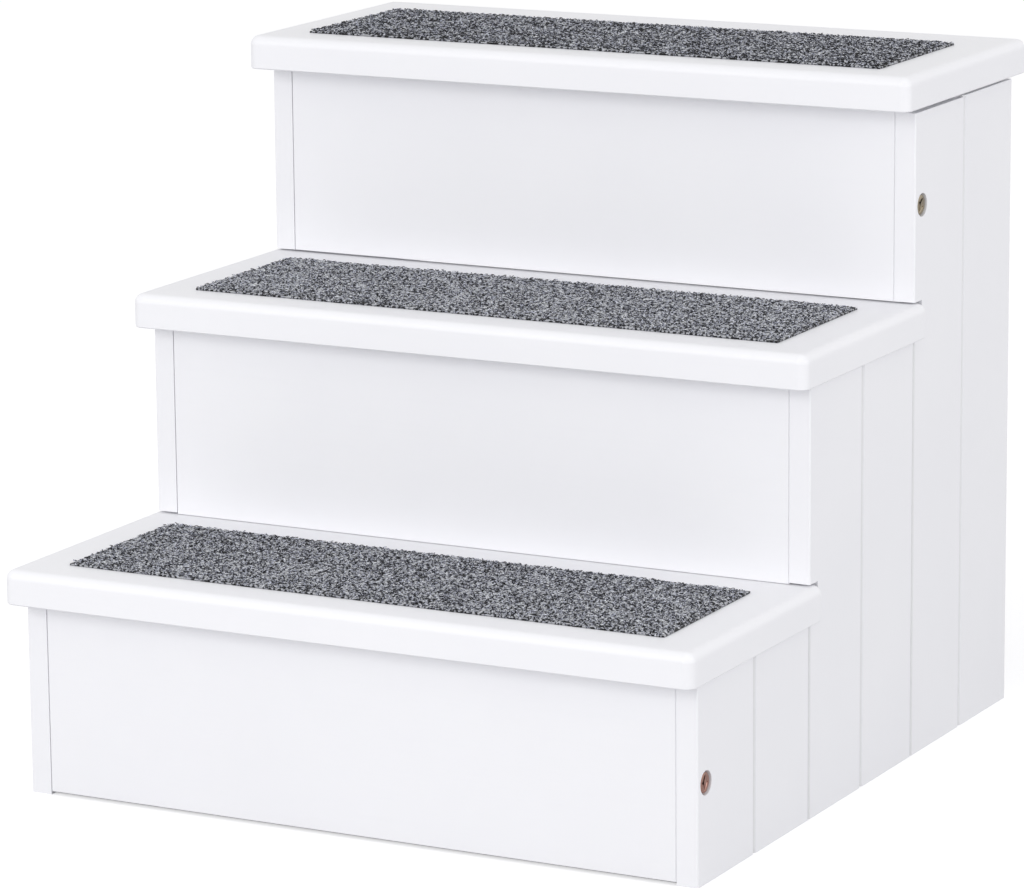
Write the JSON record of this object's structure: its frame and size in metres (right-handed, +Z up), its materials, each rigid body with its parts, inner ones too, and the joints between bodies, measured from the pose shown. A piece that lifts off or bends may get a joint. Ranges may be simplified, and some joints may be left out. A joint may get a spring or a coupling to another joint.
{
  "type": "pet stairs",
  "caption": "Free-standing white-painted wooden pet stairs with plank sides, closed risers and carpeted treads.",
  "frame": {"origin": "middle of the whole outline in plan, on the floor", "axes": "-Y is the front that a pet climbs from, +X the right side seen from the front, +Z up"},
  "size_m": [0.409, 0.436, 0.383],
  "materials": {
    "white_painted_wood": "satin white paint",
    "heather_carpet": "grey heather needled pile",
    "bare_beech": "bare turned wood",
    "yellow_zinc_steel": "yellow zinc plating",
    "bright_zinc_steel": "bright zinc plating"
  },
  "bodies": {
    "root": {"back_rail_screws": "bright_zinc_steel", "barrel_nuts": "bright_zinc_steel", "carpet_pad_1": "heather_carpet", "carpet_pad_2": "heather_carpet", "carpet_pad_3": "heather_carpet", "left_bottom_batten": "white_painted_wood", "left_rear_post": "white_painted_wood", "left_side_plank_1": "white_painted_wood", "left_side_plank_2": "white_painted_wood", "left_side_plank_3": "white_painted_wood", "left_side_plank_4": "white_painted_wood", "left_side_plank_5": "white_painted_wood", "left_side_plank_6": "white_painted_wood", "left_tread_batten_1": "white_painted_wood", "left_tread_batten_2": "white_painted_wood", "left_tread_batten_3": "white_painted_wood", "lower_back_rail": "white_painted_wood", "right_bottom_batten": "white_painted_wood", "right_rear_post": "white_painted_wood", "right_side_plank_1": "white_painted_wood", "right_side_plank_2": "white_painted_wood", "right_side_plank_3": "white_painted_wood", "right_side_plank_4": "white_painted_wood", "right_side_plank_5": "white_painted_wood", "right_side_plank_6": "white_painted_wood", "right_tread_batten_1": "white_painted_wood", "right_tread_batten_2": "white_painted_wood", "right_tread_batten_3": "white_painted_wood", "riser_1": "white_painted_wood", "riser_2": "white_painted_wood", "riser_3": "white_painted_wood", "riser_bolts": "yellow_zinc_steel", "riser_dowels": "bare_beech", "tread_1": "white_painted_wood", "tread_2": "white_painted_wood", "tread_3": "white_painted_wood", "tread_screws": "bright_zinc_steel", "upper_back_rail": "white_painted_wood"}
  },
  "joints": []
}
